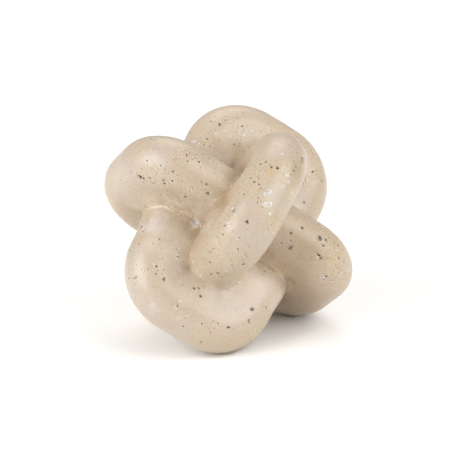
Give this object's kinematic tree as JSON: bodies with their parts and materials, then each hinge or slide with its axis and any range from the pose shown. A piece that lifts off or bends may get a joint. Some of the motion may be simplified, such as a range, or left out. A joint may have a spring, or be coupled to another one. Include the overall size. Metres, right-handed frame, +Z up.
{
  "type": "knot sculpture",
  "caption": "Free-standing table ornament of thick round rings threaded through one another into a compact knot, in speckled cast stone on small felt pads.",
  "frame": {"origin": "on the table, on the upright axis through the middle of the knot, which is the bottom centre of the bounding box", "axes": "+Z up, along the threefold axis of the knot; the left ring's foot is towards -Y, and from there its plane rises towards +Y at 54.7 degrees to the floor"},
  "size_m": [0.12, 0.1198, 0.1035],
  "materials": {
    "cast_stone": "matte",
    "dowel_steel": "satin",
    "pad_felt": "matte"
  },
  "bodies": {
    "root": {"left_ring_upper_half": "cast_stone", "left_ring_lower_half": "cast_stone", "left_ring_low_dowel": "dowel_steel", "left_ring_high_dowel": "dowel_steel", "left_ring_foot_pad": "pad_felt", "front_ring_upper_half": "cast_stone", "front_ring_lower_half": "cast_stone", "front_ring_low_dowel": "dowel_steel", "front_ring_high_dowel": "dowel_steel", "front_ring_foot_pad": "pad_felt", "right_ring_upper_half": "cast_stone", "right_ring_lower_half": "cast_stone", "right_ring_low_dowel": "dowel_steel", "right_ring_high_dowel": "dowel_steel", "right_ring_foot_pad": "pad_felt"}
  },
  "joints": []
}
